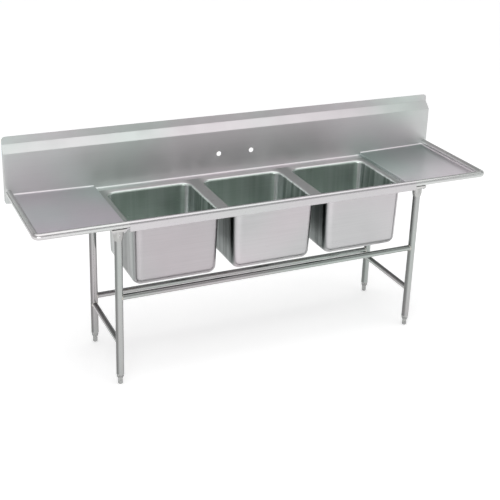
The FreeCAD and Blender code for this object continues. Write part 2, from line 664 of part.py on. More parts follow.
def make_leg_channel(side):
    """Hat channel under the inner end of a drainboard, which carries a front and a rear leg.

    Its closed front end reaches under the rim, so the webs are lower there.
    """
    sign = SIDES[side]
    body = new_body(f"leg_channel_{side}")
    middle = f"-({CHANNEL_FRONT} + dims.channel_back) / 2"
    sketch = new_sketch(body, "section", "XZ_Plane", middle)
    inner = "dims.leg_across - dims.channel_width / 2"
    outer = "dims.leg_across + dims.channel_width / 2"
    lip = "dims.channel_lip"
    floor = "dims.channel_bottom"
    inner_lip = f"{inner} - {lip} / 3"
    outer_lip = f"{outer} + {lip}"
    add_outline(sketch, [
        (f"{sign} * ({inner_lip})", board_underside(inner_lip)),
        (f"{sign} * ({inner} + {THICK})", board_underside(f"{inner} + {THICK}")),
        (f"{sign} * ({inner} + {THICK})", f"{floor} + {THICK}"),
        (f"{sign} * ({outer} - {THICK})", f"{floor} + {THICK}"),
        (f"{sign} * ({outer} - {THICK})", board_underside(f"{outer} - {THICK}")),
        (f"{sign} * ({outer_lip})", board_underside(outer_lip)),
        (f"{sign} * ({outer_lip})", f"{board_underside(outer_lip)} - {THICK}"),
        (f"{sign} * ({outer})", f"{board_underside(outer)} - {THICK}"),
        (f"{sign} * ({outer})", floor),
        (f"{sign} * ({inner})", floor),
        (f"{sign} * ({inner})", f"{board_underside(inner)} - {THICK}"),
        (f"{sign} * ({inner_lip})", f"{board_underside(inner_lip)} - {THICK}"),
    ])
    pad(body, sketch, f"dims.channel_back - {CHANNEL_FRONT}", both_ways=True)
    notch = new_sketch(body, "notch", "YZ_Plane")
    past_front = f"{CHANNEL_FRONT} - {lip}"
    past_top = f"{BOARD_TOP} + {lip}"
    add_outline(notch, [
        ("dims.channel_notch_start", "dims.channel_notch_height"),
        ("dims.channel_notch_start", past_top),
        (past_front, past_top),
        (past_front, "dims.channel_notch_height"),
    ])
    cut(body, notch, both_ways=True)
    end = new_sketch(body, "end", "XZ_Plane", f"-{CHANNEL_FRONT}")
    add_outline(end, [
        (f"{sign} * ({inner})", floor),
        (f"{sign} * ({outer})", floor),
        (f"{sign} * ({outer})", "dims.channel_notch_height"),
        (f"{sign} * ({inner})", "dims.channel_notch_height"),
    ])
    pad(body, end, THICK, down=True)


def make_stiffener(side):
    """Hat channel along the middle of a drainboard. It lies against the pitched sheet."""
    sign = SIDES[side]
    body = new_body(f"drainboard_stiffener_{side}")
    sketch = new_sketch(body, "section", "YZ_Plane")
    half = "dims.stiffener_width / 2"
    lip = "dims.channel_lip"
    deep = "dims.stiffener_depth"
    right_half = [
        (f"{half} - {THICK}", f"-{deep} + {THICK}"),
        (f"{half} - {THICK}", "0"),
        (f"{half} + {lip}", "0"),
        (f"{half} + {lip}", f"-{THICK}"),
        (half, f"-{THICK}"),
        (half, f"-{deep}"),
    ]
    left_half = [(f"-({across})", up) for across, up in reversed(right_half)]
    add_outline(sketch, right_half + left_half)
    pad(body, sketch, "dims.stiffener_length", down=(sign < 0))
    body.Placement.Rotation = Rotation(Vector(0, -sign, 0), 1)
    body.setExpression("Placement.Rotation.Angle", f"atan({BOARD_RISE} / {BOARD_RUN})")
    place(body, f"{sign} * dims.stiffener_start", "0", board_underside("dims.stiffener_start"))


def make_socket(end, side):
    """Leg socket: a tapered cup under a square plate that is studded to the leg channel."""
    body = new_body(f"leg_socket_{end}_{side}")
    section = new_sketch(body, "cup", "XZ_Plane")
    add_outline(section, [
        ("dims.socket_bore", "-dims.socket_height"),
        ("dims.socket_bottom_radius", "-dims.socket_height"),
        ("dims.socket_top_radius", "-dims.socket_straight"),
        ("dims.socket_top_radius", "0"),
        ("0", "0"),
        ("0", "-dims.socket_roof"),
        ("dims.socket_bore", "-dims.socket_roof"),
    ])
    revolve(body, section)
    plate = new_sketch(body, "plate", "XY_Plane")
    add_rectangle(plate, "dims.socket_plate / 2", "dims.socket_plate / 2")
    pad(body, plate, "dims.socket_plate_thickness")
    screw = new_sketch(body, "screw_hole", "XZ_Plane")
    add_circle(screw, "dims.set_screw_radius", up="dims.set_screw_height - dims.channel_bottom "
                                                  "+ dims.socket_plate_thickness")
    cut(body, screw, "dims.socket_top_radius + 5", reverse=(end == "front"))
    holes = new_sketch(body, "stud_holes", "XY_Plane")
    for across in (-1, 1):
        for back in (-1, 1):
            where = (f"{across} * dims.stud_offset", f"{back} * dims.stud_offset")
            add_circle(holes, "dims.stud_radius", *where)
    cut(body, holes, both_ways=True)
    place(body, f"{SIDES[side]} * dims.leg_across", f"dims.leg_{end}",
          "dims.channel_bottom - dims.socket_plate_thickness")


def make_leg(end, side):
    body = new_body(f"leg_{end}_{side}")
    tube(body, "dims.leg_radius", "dims.leg_top - dims.leg_bottom")
    place(body, f"{SIDES[side]} * dims.leg_across", f"dims.leg_{end}", "dims.leg_bottom")


def make_insert(end, side):
    """Plug in the lower end of a leg, with a collar that the tube stands on and a bore for the foot."""
    body = new_body(f"leg_insert_{end}_{side}")
    section = new_sketch(body, "section", "XZ_Plane")
    collar = "dims.leg_bottom - dims.insert_bottom"
    plug = "dims.leg_radius - dims.tube_wall"
    add_outline(section, [
        ("dims.insert_bore", "0"),
        ("dims.leg_radius", "0"),
        ("dims.leg_radius", collar),
        (plug, collar),
        (plug, "dims.insert_length"),
        ("dims.insert_bore", "dims.insert_length"),
    ])
    revolve(body, section)
    place(body, f"{SIDES[side]} * dims.leg_across", f"dims.leg_{end}", "dims.insert_bottom")


def make_foot(end, side):
    """Bullet foot: a round tip, a taper, a hexagon for the wrench, a collar and the threaded stem."""
    body = new_body(f"foot_{end}_{side}")
    section = new_sketch(body, "section", "XZ_Plane")
    add_outline(section, [
        ("0", "0"),
        ("dims.foot_tip_radius", "0"),
        ("dims.foot_tip_radius", "dims.foot_tip_height"),
        ("dims.foot_neck_radius", "dims.foot_neck_height"),
        ("dims.foot_top_radius", "dims.foot_body_top"),
        ("dims.foot_collar_radius", "dims.foot_body_top"),
        ("dims.foot_collar_radius", "dims.insert_bottom"),
        ("dims.foot_stem_radius", "dims.insert_bottom"),
        ("dims.foot_stem_radius", "dims.foot_stem_top"),
        ("0", "dims.foot_stem_top"),
    ])
    revolve(body, section)
    hexagon = new_sketch(body, "hexagon", "XY_Plane", "dims.foot_body_top")
    add_polygon(hexagon, 6, "dims.foot_hex_radius")
    pad(body, hexagon, "dims.foot_hex_height")
    fillet(body, "tip_round", "dims.foot_tip_round", lambda edge: at_height(edge, 0))
    place(body, f"{SIDES[side]} * dims.leg_across", f"dims.leg_{end}")


def make_rail(end):
    """Cross rail between the two front or the two rear legs, its ends coped to the legs."""
    body = new_body(f"{end}_rail")
    tube(body, "dims.rail_radius", "2 * dims.leg_across", role="YZ_Plane")
    cope = new_sketch(body, "cope", "XY_Plane")
    for sign in SIDES.values():
        add_circle(cope, "dims.leg_radius", f"{sign} * dims.leg_across")
    cut(body, cope, both_ways=True)
    place(body, "0", f"dims.leg_{end}", f"dims.{end}_rail_height")


def make_brace(side):
    """Side brace from a front leg to a rear leg."""
    body = new_body(f"{side}_brace")
    tube(body, "dims.rail_radius", "dims.leg_rear - dims.leg_front", role="XZ_Plane")
    cope = new_sketch(body, "cope", "XY_Plane")
    for sign in SIDES.values():
        add_circle(cope, "dims.leg_radius", "0", f"{sign} * (dims.leg_rear - dims.leg_front) / 2")
    cut(body, cope, both_ways=True)
    middle = "(dims.leg_front + dims.leg_rear) / 2"
    place(body, f"{SIDES[side]} * dims.leg_across", middle, "dims.brace_height")


def make_set_screws():
    """One set screw in each socket, from the front or the back of the sink, up against its leg."""
    screws = []
    for end, side in LEGS:
        facing = -1 if end == "front" else 1
        screw = doc.addObject("Part::Cylinder", f"set_screw_{end}_{side}")
        screw.setExpression("Radius", "dims.set_screw_radius - 0.02")
        screw.setExpression("Height", "dims.socket_top_radius - dims.leg_radius - 1")
        screw.Placement.Rotation = Rotation(Vector(1, 0, 0), -90 * facing)
        place(screw, f"{SIDES[side]} * dims.leg_across", f"dims.leg_{end} + {facing} * dims.leg_radius",
              "dims.set_screw_height")
        socket = doc.addObject("Part::Prism", f"set_screw_socket_{end}_{side}")
        socket.Polygon = 6
        socket.setExpression("Circumradius", "dims.set_screw_radius / 2")
        socket.setExpression("Height", "dims.set_screw_radius")
        socket.Placement.Rotation = Rotation(Vector(1, 0, 0), -90 * facing)
        place(socket, f"{SIDES[side]} * dims.leg_across",
              f"dims.leg_{end} + {facing} * (dims.socket_top_radius - 1 - dims.set_screw_radius)",
              "dims.set_screw_height")
        recessed = doc.addObject("Part::Cut", f"set_screw_cut_{end}_{side}")
        recessed.Base = screw
        recessed.Tool = socket
        screws.append(recessed)
    group = doc.addObject("Part::Compound", "socket_set_screws")
    group.Links = screws
    keep(group, "socket_set_screws")


def make_socket_studs():
    """Four studs on each socket plate, welded to the channel, with a nut under the plate on each."""
    studs = []
    for end, side in LEGS:
        for across in (-1, 1):
            for back in (-1, 1):
                tag = f"{end}_{side}_{across + 1}{back + 1}"
                stud = doc.addObject("Part::Cylinder", f"stud_{tag}")
                stud.setExpression("Radius", "dims.stud_radius - 0.02")
                stud.setExpression("Height", "dims.socket_plate_thickness + dims.nut_height + 2")
                nut = doc.addObject("Part::Prism", f"stud_nut_{tag}")
                nut.Polygon = 6
                nut.setExpression("Circumradius", "dims.nut_flat_radius")
                nut.setExpression("Height", "dims.nut_height")
                where = (f"{SIDES[side]} * dims.leg_across + {across} * dims.stud_offset",
                         f"dims.leg_{end} + {back} * dims.stud_offset")
                place(stud, *where, "dims.channel_bottom - dims.socket_plate_thickness - dims.nut_height - 2")
                place(nut, *where, "dims.channel_bottom - dims.socket_plate_thickness - dims.nut_height")
                joined = doc.addObject("Part::MultiFuse", f"stud_with_nut_{tag}")
                joined.Shapes = [stud, nut]
                studs.append(joined)
    group = doc.addObject("Part::Compound", "socket_studs")
    group.Links = studs
    keep(group, "socket_studs")


# ---------------------------------------------------------------- drains

def at_drain(body, name):
    """Stands a drain piece on the recess floor of its bowl."""
    place(body, f"{BOWLS[name]} * dims.bowl_pitch", BOWL_MIDDLE, RECESS_FLOOR)


def make_drain_body(name):
    """Drain: flange in the bowl's recess, cup with a ledge for the basket, and a tailpiece."""
    body = new_body(f"drain_{name}")
    section = new_sketch(body, "section", "XZ_Plane")
    top = "dims.flange_thickness"
    cup_bottom = f"({top} - dims.cup_depth)"
    tail_bottom = f"{cup_bottom} - dims.tail_length"
    tail_bore = "dims.tail_radius - dims.tail_wall"
    add_outline(section, [
        ("dims.flange_radius", "0"),
        (f"dims.flange_radius - {top} / 2", top),
        ("dims.cup_seat_radius", top),
        ("dims.cup_seat_radius", f"{top} - dims.cup_ledge_drop"),
        ("dims.cup_inner_radius", f"{top} - dims.cup_ledge_drop"),
        ("dims.cup_inner_radius", f"{cup_bottom} + dims.cup_wall"),
        (tail_bore, f"{cup_bottom} + dims.cup_wall"),
        (tail_bore, tail_bottom),
        ("dims.tail_radius", tail_bottom),
        ("dims.tail_radius", cup_bottom),
        ("dims.cup_outer_radius", cup_bottom),
        ("dims.cup_outer_radius", "0"),
    ])
    revolve(body, section)
    at_drain(body, name)


def make_gasket(name):
    body = new_body(f"drain_gasket_{name}")
    sketch = new_sketch(body, "ring", "XY_Plane", f"-{THICK} - dims.gasket_thickness")
    add_circle(sketch, "dims.gasket_outer_radius")
    add_circle(sketch, "dims.gasket_inner_radius")
    pad(body, sketch, "dims.gasket_thickness")
    at_drain(body, name)


def make_lock_nut(name):
    """Eight sided nut that pulls the drain down into the bowl."""
    body = new_body(f"drain_lock_nut_{name}")
    under_gasket = f"-{THICK} - dims.gasket_thickness"
    sketch = new_sketch(body, "outline", "XY_Plane", f"{under_gasket} - dims.lock_nut_height")
    add_polygon(sketch, 8, "dims.lock_nut_radius")
    add_circle(sketch, "dims.lock_nut_bore")
    pad(body, sketch, "dims.lock_nut_height")
    at_drain(body, name)


def make_basket(name):
    """Lift-out crumb cup: rim, slotted side, perforated floor and a lifting knob."""
    body = new_body(f"strainer_basket_{name}")
    section = new_sketch(body, "section", "XZ_Plane")
    seat = "(dims.flange_thickness - dims.cup_ledge_drop)"
    floor = f"({seat} - dims.basket_depth)"
    wall = "dims.basket_wall"
    knob_foot = f"({floor} + {wall} + dims.knob_stem_height)"
    add_outline(section, [
        ("0", floor),
        ("dims.basket_radius", floor),
        ("dims.basket_radius", seat),
        ("dims.basket_rim_radius", seat),
        ("dims.basket_rim_radius", f"{seat} + {wall}"),
        (f"dims.basket_radius - {wall}", f"{seat} + {wall}"),
        (f"dims.basket_radius - {wall}", f"{floor} + {wall}"),
        ("dims.knob_stem_radius", f"{floor} + {wall}"),
        ("dims.knob_stem_radius", knob_foot),
        ("dims.knob_radius", f"{knob_foot} + dims.knob_height / 3"),
        ("dims.knob_radius", f"{knob_foot} + dims.knob_height * 2 / 3"),
        ("dims.knob_stem_radius", f"{knob_foot} + dims.knob_height"),
        ("0", f"{knob_foot} + dims.knob_height"),
    ])
    revolve(body, section)
    slot = new_sketch(body, "slot", "XZ_Plane")
    add_rectangle(slot, "dims.basket_slot_width / 2", "dims.basket_slot_height / 2",
                  up=f"{seat} - dims.basket_depth / 2")
    pattern(body, cut(body, slot, "dims.basket_radius + 1"), 16)
    for name_of_ring, circle, count in (("outer", "dims.basket_hole_circle", 16),
                                        ("inner", "dims.basket_inner_circle", 8)):
        hole = new_sketch(body, f"{name_of_ring}_hole", "XY_Plane", f"{floor} + {wall}")
        add_circle(hole, "dims.basket_hole_radius", circle)
        pattern(body, cut(body, hole, f"2 * {wall}"), count)
    at_drain(body, name)


# ---------------------------------------------------------------- the assembly

make_splash()
make_back_strip()
make_centre_rim()
for side in SIDES:
    make_end_cap(side)
    make_side_rim(side)
    make_drainboard(side)
    make_leg_channel(side)
    make_stiffener(side)
    make_brace(side)
for name in BOWLS:
    make_bowl(name)
    make_drain_body(name)
    make_gasket(name)
    make_lock_nut(name)
    make_basket(name)
for end, side in LEGS:
    make_socket(end, side)
    make_leg(end, side)
    make_insert(end, side)
    make_foot(end, side)
for end in ("front", "rear"):
    make_rail(end)
make_set_screws()
make_socket_studs()
doc.recompute()

failed = [item.Label for item in doc.Objects if "Invalid" in item.State or "Error" in item.State]
if failed:
    raise RuntimeError(f"failed objects: {failed}")
for item in nodes:
    if item.Shape.isNull() or not item.Shape.isValid() or not item.Shape.Solids:
        raise RuntimeError(f"{item.Label} has no valid solid")

os.makedirs("parts", exist_ok=True)
for item in nodes:
    item.Shape.exportStep(f"parts/{item.Label}.step")
    box = item.Shape.BoundBox
    print(f"{item.Label:32s} {len(item.Shape.Solids):3d} solids  {item.Shape.Volume / 1000:9.2f} cm3  "
          f"x {box.XMin:8.1f} {box.XMax:8.1f}  y {box.YMin:7.1f} {box.YMax:7.1f}  "
          f"z {box.ZMin:7.1f} {box.ZMax:7.1f}")
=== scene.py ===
"""Looks of the three compartment sink: steel finishes, welds, coves, screw feet, studio and camera."""
import math

import bmesh
import bpy
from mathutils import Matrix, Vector
from mathutils.bvhtree import BVHTree


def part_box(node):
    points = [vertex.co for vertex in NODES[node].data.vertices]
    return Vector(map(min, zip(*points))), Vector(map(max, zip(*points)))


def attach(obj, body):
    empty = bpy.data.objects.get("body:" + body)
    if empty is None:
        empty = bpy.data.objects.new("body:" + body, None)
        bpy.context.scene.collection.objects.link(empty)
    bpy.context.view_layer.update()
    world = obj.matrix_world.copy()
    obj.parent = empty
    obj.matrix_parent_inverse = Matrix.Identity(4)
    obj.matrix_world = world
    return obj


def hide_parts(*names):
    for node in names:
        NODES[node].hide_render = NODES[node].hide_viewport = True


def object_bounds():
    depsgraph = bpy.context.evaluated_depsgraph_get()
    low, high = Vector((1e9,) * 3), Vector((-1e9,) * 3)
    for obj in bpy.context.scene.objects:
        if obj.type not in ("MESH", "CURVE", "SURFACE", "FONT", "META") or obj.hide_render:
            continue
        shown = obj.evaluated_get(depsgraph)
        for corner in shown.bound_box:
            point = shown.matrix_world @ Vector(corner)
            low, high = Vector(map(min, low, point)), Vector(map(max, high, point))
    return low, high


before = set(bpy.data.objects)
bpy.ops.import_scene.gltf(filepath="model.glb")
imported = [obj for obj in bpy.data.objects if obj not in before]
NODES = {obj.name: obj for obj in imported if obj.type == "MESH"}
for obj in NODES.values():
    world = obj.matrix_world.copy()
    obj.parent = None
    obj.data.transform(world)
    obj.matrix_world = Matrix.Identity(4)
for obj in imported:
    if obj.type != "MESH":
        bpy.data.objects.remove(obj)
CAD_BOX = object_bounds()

SINK = "sink"
BOWLS = ("left", "centre", "right")
# Each side with its sign along X.
SIDES = {"left": -1, "right": 1}
ENDS = ("front", "rear")
MM = 0.001

SPLASH_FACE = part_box("backsplash")[0].y
DECK_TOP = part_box("back_strip")[1].z
BOARD_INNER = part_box("drainboard_right")[0].x
RIM_WIDTH = 35 * MM
RIM_INNER_X = CAD_BOX[1].x - RIM_WIDTH
RIM_INNER_Y = CAD_BOX[0].y + RIM_WIDTH

CAMERA_PLACE = (-2.223, -4.653, 2.887)
CAMERA_YAW, CAMERA_PITCH, CAMERA_ROLL = 25.17, 20.74, 1.98
CAMERA_LENS = 71.5
CAMERA_SHIFT = -0.14
FLOOR_SIZE = 40.0
FLOOR_GLOW = 0.36
# Name, place, aim, size in metres and power in watts of each softbox.
SOFTBOXES = (
    ("overhead", (0.0, -0.6, 3.4), (0.0, 0.1, 0.9), (5.5, 3.2), 34.0),
    ("key_left", (-2.6, -4.6, 1.9), (-0.1, 0.0, 0.7), (2.8, 2.2), 60.0),
    ("fill_right", (4.2, -2.6, 2.2), (0.3, 0.0, 0.7), (1.6, 2.2), 8.0),
)


# ---------------------------------------------------------------- materials

class Finish:
    """One material's node tree, with short calls that add and join nodes."""

    def __init__(self, name):
        self.material = bpy.data.materials.new(name)
        self.material.use_nodes = True
        self.tree = self.material.node_tree
        self.shader = self.tree.nodes["Principled BSDF"]
        self.point = self.node("TexCoord").outputs["Object"]

    def node(self, kind, **settings):
        node = self.tree.nodes.new("ShaderNode" + kind)
        for key, value in settings.items():
            setattr(node, key, value)
        return node

    def give(self, socket, value):
        if isinstance(value, bpy.types.NodeSocket):
            self.tree.links.new(value, socket)
        else:
            socket.default_value = value

    def math(self, operation, *values):
        node = self.node("Math", operation=operation)
        for socket, value in zip(node.inputs, values):
            self.give(socket, value)
        return node.outputs[0]

    def vector_math(self, operation, *values, output="Vector"):
        node = self.node("VectorMath", operation=operation)
        for socket, value in zip(node.inputs, values):
            self.give(socket, value)
        return node.outputs[output]

    def scaled(self, vector, factor):
        node = self.node("VectorMath", operation="SCALE")
        self.give(node.inputs[0], vector)
        self.give(node.inputs["Scale"], factor)
        return node.outputs["Vector"]

    def remap(self, value, low, high, to_low=0.0, to_high=1.0):
        node = self.node("MapRange", interpolation_type="SMOOTHSTEP")
        for socket, given in zip(node.inputs, (value, low, high, to_low, to_high)):
            self.give(socket, given)
        return node.outputs["Result"]

    def mix(self, factor, first, second, blend="MIX"):
        node = self.node("Mix", data_type="RGBA", blend_type=blend)
        self.give(node.inputs["Factor"], factor)
        self.give(node.inputs["A"], first)
        self.give(node.inputs["B"], second)
        return node.outputs["Result"]

    def noise(self, scale, detail=2.0, roughness=0.5, stretch=(1.0, 1.0, 1.0), shift=0.0):
        """Noise from 0 to 1. scale counts features per metre, and stretch multiplies it by axis."""
        mapping = self.node("Mapping")
        self.give(mapping.inputs["Vector"], self.point)
        mapping.inputs["Location"].default_value = (shift, shift * 0.7, shift * 1.3)
        mapping.inputs["Scale"].default_value = stretch
        noise = self.node("TexNoise")
        self.give(noise.inputs["Vector"], mapping.outputs["Vector"])
        noise.inputs["Scale"].default_value = scale
        noise.inputs["Detail"].default_value = detail
        noise.inputs["Roughness"].default_value = roughness
        return noise.outputs["Fac"]

    def normal_part(self, axis):
        split = self.node("SeparateXYZ")
        self.give(split.inputs[0], self.node("NewGeometry").outputs["Normal"])
        return split.outputs[axis.upper()]

    def place_part(self, axis):
        split = self.node("SeparateXYZ")
        self.give(split.inputs[0], self.point)
        return split.outputs[axis.upper()]

    def bump(self, height, distance, under=None):
        node = self.node("Bump")
        node.inputs["Strength"].default_value = 1.0
        node.inputs["Distance"].default_value = distance
        self.give(node.inputs["Height"], height)
        if under is not None:
            self.give(node.inputs["Normal"], under)
        return node.outputs["Normal"]


def opaque(*tone):
    """A colour as a node's socket takes it."""
    return (*tone, 1.0)


PATCH_SCALE = 2.2
TINT_SCALE = 0.8 * PATCH_SCALE
SMEAR_SCALE = 9.0
WAVE_SCALE = 3.2
FINE_GRAIN, COARSE_GRAIN = 900.0, 110.0
FINE_GRAIN_DEPTH = 0.006 * MM
FINE_GRAIN_CONTRAST = 0.10
ANISOTROPY = 0.55
GRAIN_STRETCH = {"x": (0.02, 1.0, 1.0), "y": (1.0, 0.02, 1.0), "z": (1.0, 1.0, 0.02),
                 "level": (0.02, 0.02, 1.0)}
# A little off the axes, so that no face is square to its own grain.
GRAIN_ALONG = {"x": (1.0, 0.15, 0.1), "y": (0.15, 1.0, 0.1), "z": (0.15, 0.1, 1.0),
               "level": (0.0, 0.15, 1.0)}


def grain_height(finish, grain, scale, shift):
    """Streaks along the grain. A level grain runs round upright walls, and along X on level faces."""
    streaks = finish.noise(scale, 3.0, 0.6, GRAIN_STRETCH[grain], shift)
    if grain != "level":
        return streaks
    flat = finish.noise(scale, 3.0, 0.6, GRAIN_STRETCH["x"], shift)
    upward = finish.math("ABSOLUTE", finish.normal_part("z"))
    mask = finish.remap(upward, 0.75, 0.9)
    blend = finish.node("Mix", data_type="FLOAT")
    finish.give(blend.inputs["Factor"], mask)
    finish.give(blend.inputs["A"], streaks)
    finish.give(blend.inputs["B"], flat)
    return blend.outputs["Result"]


def steel(name, grain, tint, rough, patches=(0.97, 1.03), cool=(0.95, 1.03, 0.99), warm=(1.04, 0.98, 1.01),
          streak=0.06, streak_depth=0.02, wave=0.8, shade=None, around=False):
    """Brushed stainless steel: a streaked grain, soft colour patches, wiped smears and fine scratches.

    streak_depth and wave are in millimetres. shade paints light and shade into the colour by place or
    direction.
    around is for tubes polished round and round, which draw their highlights out along the tube.
    """
    finish = Finish(name)
    shader = finish.shader
    shader.inputs["Metallic"].default_value = 1.0
    shader.inputs["Anisotropic"].default_value = ANISOTROPY

    patch = finish.noise(PATCH_SCALE, 2.0, 0.5, shift=3.1)
    tint_noise = finish.noise(TINT_SCALE, 1.0, 0.4, shift=7.7)
    cool_tint = opaque(*(c * k for c, k in zip(tint, cool)))
    warm_tint = opaque(*(c * k for c, k in zip(tint, warm)))
    colour = finish.mix(finish.remap(tint_noise, 0.32, 0.68), cool_tint, warm_tint)
    # Painted light and shade go into the colour here.
    if shade is not None:
        colour = shade(finish, colour)
    fine = grain_height(finish, grain, FINE_GRAIN, 1.3)
    coarse = grain_height(finish, grain, COARSE_GRAIN, 5.9)
    fine_swing = finish.math("SUBTRACT", fine, 0.5)
    coarse_swing = finish.math("SUBTRACT", coarse, 0.5)
    bright = finish.math("ADD", finish.remap(patch, 0.25, 0.75, *patches),
                         finish.math("MULTIPLY", coarse_swing, streak))
    bright = finish.math("ADD", bright, finish.math("MULTIPLY", fine_swing, FINE_GRAIN_CONTRAST))
    finish.give(shader.inputs["Base Color"], finish.scaled(colour, bright))

    smears = finish.noise(SMEAR_SCALE, 4.0, 0.62, shift=11.0)
    level = finish.math("ADD", finish.remap(smears, 0.3, 0.75, rough * 0.93, rough * 1.09),
                        finish.math("MULTIPLY", coarse_swing, 0.04))
    finish.give(shader.inputs["Roughness"], level)

    normal = finish.node("NewGeometry").outputs["Normal"]
    tangent = finish.vector_math("CROSS_PRODUCT", normal, GRAIN_ALONG[grain])
    if grain == "level" or around:
        tangent = finish.vector_math("CROSS_PRODUCT", tangent, normal)
    finish.give(shader.inputs["Tangent"], tangent)

    waves = finish.noise(WAVE_SCALE, 1.0, 0.4, shift=17.0)
    rolled = finish.bump(waves, wave * MM)
    streaked = finish.bump(coarse, streak_depth * MM, under=rolled)
    finish.give(shader.inputs["Normal"], finish.bump(fine, FINE_GRAIN_DEPTH, under=streaked))
    return finish.material


def turned_metal(name, tint, rough, ring_scale=500.0):
    """Metal turned on a lathe: fine rings across the upright axis, with stains."""
    finish = Finish(name)
    shader = finish.shader
    shader.inputs["Metallic"].default_value = 1.0
    rings = finish.noise(ring_scale, 2.0, 0.6, (0.05, 0.05, 1.0), 2.0)
    stains = finish.noise(60.0, 4.0, 0.6, shift=4.0)
    dark = opaque(*(c * 0.72 for c in tint))
    light = opaque(*(min(1.0, c * 1.06) for c in tint))
    finish.give(shader.inputs["Base Color"], finish.mix(finish.remap(stains, 0.3, 0.62), dark, light))
    finish.give(shader.inputs["Roughness"], finish.remap(rings, 0.2, 0.8, rough * 0.8, rough * 1.3))
    finish.give(shader.inputs["Normal"], finish.bump(rings, 0.03 * MM))
    return finish.material


def chrome():
    finish = Finish("drain_chrome_plate")
    shader = finish.shader
    shader.inputs["Metallic"].default_value = 1.0
    spots = finish.noise(140.0, 4.0, 0.7, shift=1.0)
    haze = finish.noise(35.0, 3.0, 0.6, shift=6.0)
    plated, spotted = opaque(0.78, 0.79, 0.80), opaque(0.62, 0.64, 0.64)
    finish.give(shader.inputs["Base Color"], finish.mix(finish.remap(spots, 0.55, 0.8), plated, spotted))
    finish.give(shader.inputs["Roughness"], finish.remap(haze, 0.3, 0.75, 0.06, 0.20))
    finish.give(shader.inputs["Normal"], finish.bump(spots, 0.01 * MM))
    return finish.material


def rubber():
    finish = Finish("gasket_black_rubber")
    shader = finish.shader
    pores = finish.noise(900.0, 3.0, 0.6, shift=1.0)
    bloom = finish.noise(40.0, 3.0, 0.6, shift=9.0)
    black, bloomed = opaque(0.02, 0.02, 0.021), opaque(0.065, 0.065, 0.063)
    finish.give(shader.inputs["Base Color"], finish.mix(finish.remap(bloom, 0.35, 0.75), black, bloomed))
    finish.give(shader.inputs["Roughness"], finish.remap(pores, 0.2, 0.8, 0.62, 0.85))
    finish.give(shader.inputs["Normal"], finish.bump(pores, 0.05 * MM))
    return finish.material


def weld_metal():
    """Weld beads: bright steel, with straw-coloured stains from the heat."""
    finish = Finish("weld_bead_steel")
    shader = finish.shader
    shader.inputs["Metallic"].default_value = 1.0
    heat = finish.noise(160.0, 2.0, 0.5, shift=5.0)
    clean, straw = opaque(0.60, 0.60, 0.59), opaque(0.52, 0.47, 0.38)
    finish.give(shader.inputs["Base Color"], finish.mix(finish.remap(heat, 0.35, 0.7), clean, straw))
    finish.give(shader.inputs["Roughness"], finish.remap(heat, 0.2, 0.8, 0.24, 0.42))
    finish.give(shader.inputs["Normal"], finish.bump(finish.noise(1500.0, 2.0, shift=2.0), 0.02 * MM))
    return finish.material


# Painted light on the bowls: green painted reflections on the end walls, painted reflection stripes on the
# side walls, a painted corner highlight, painted shade on the outer flanks, darker by a neighbour, and a
# painted highlight on the flange behind each bowl.
BOWL_END_WALL_PAINTED_REFLECTION = (opaque(0.55, 0.63, 0.58), opaque(0.63, 0.70, 0.66))
BOWL_SIDE_WALL_PAINTED_REFLECTION = (opaque(0.46, 0.50, 0.49), opaque(0.95, 0.98, 0.98))
BOWL_FLOOR = opaque(0.60, 0.615, 0.61)
BOWL_CORNER_PAINTED_HIGHLIGHT = opaque(1.0, 1.0, 1.0)
BOWL_FREE_FLANK_PAINTED_SHADE = (opaque(0.26, 0.275, 0.27), opaque(0.38, 0.395, 0.39))
BOWL_CLOSE_FLANK_PAINTED_SHADE = (opaque(0.09, 0.105, 0.10), opaque(0.19, 0.21, 0.205))
FLANGE_BACK_PAINTED_HIGHLIGHT = opaque(0.80, 0.79, 0.79)
FLANGE_SIDES = opaque(0.44, 0.46, 0.45)
FLANGE_BLEND = (0.205, 0.262)
BOWL_MIDDLE_HEIGHT = 0.72


